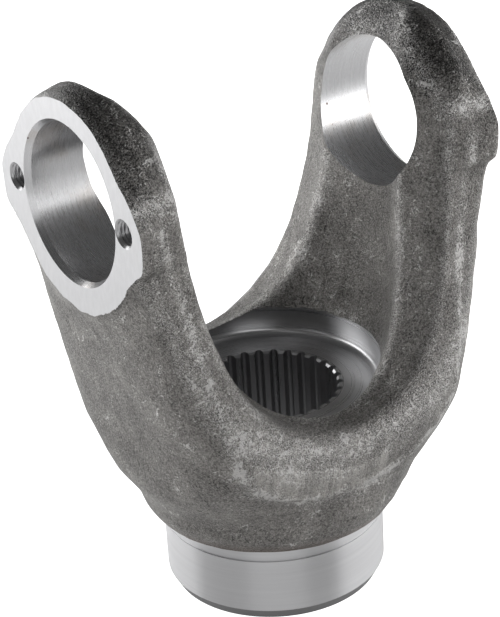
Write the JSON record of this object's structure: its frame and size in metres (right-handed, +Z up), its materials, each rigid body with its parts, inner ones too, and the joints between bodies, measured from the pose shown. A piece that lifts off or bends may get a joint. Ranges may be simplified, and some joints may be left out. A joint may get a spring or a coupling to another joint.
{
  "type": "driveshaft yoke",
  "caption": "Forged fork-shaped driveshaft yoke: two ears bored for a bearing cross, tapped holes beside each bore, and a hub with an internal spline.",
  "frame": {"origin": "centre of the hub's lower end face", "axes": "+Z up the hub and spline axis towards the ears, +X along the bearing bores, +Y across the ears"},
  "size_m": [0.163, 0.1206, 0.2275],
  "materials": {
    "yoke": "as-forged grey skin, machined bright on pads, bores, counterbore and hub"
  },
  "bodies": {
    "root": {"yoke": "yoke"}
  },
  "joints": []
}
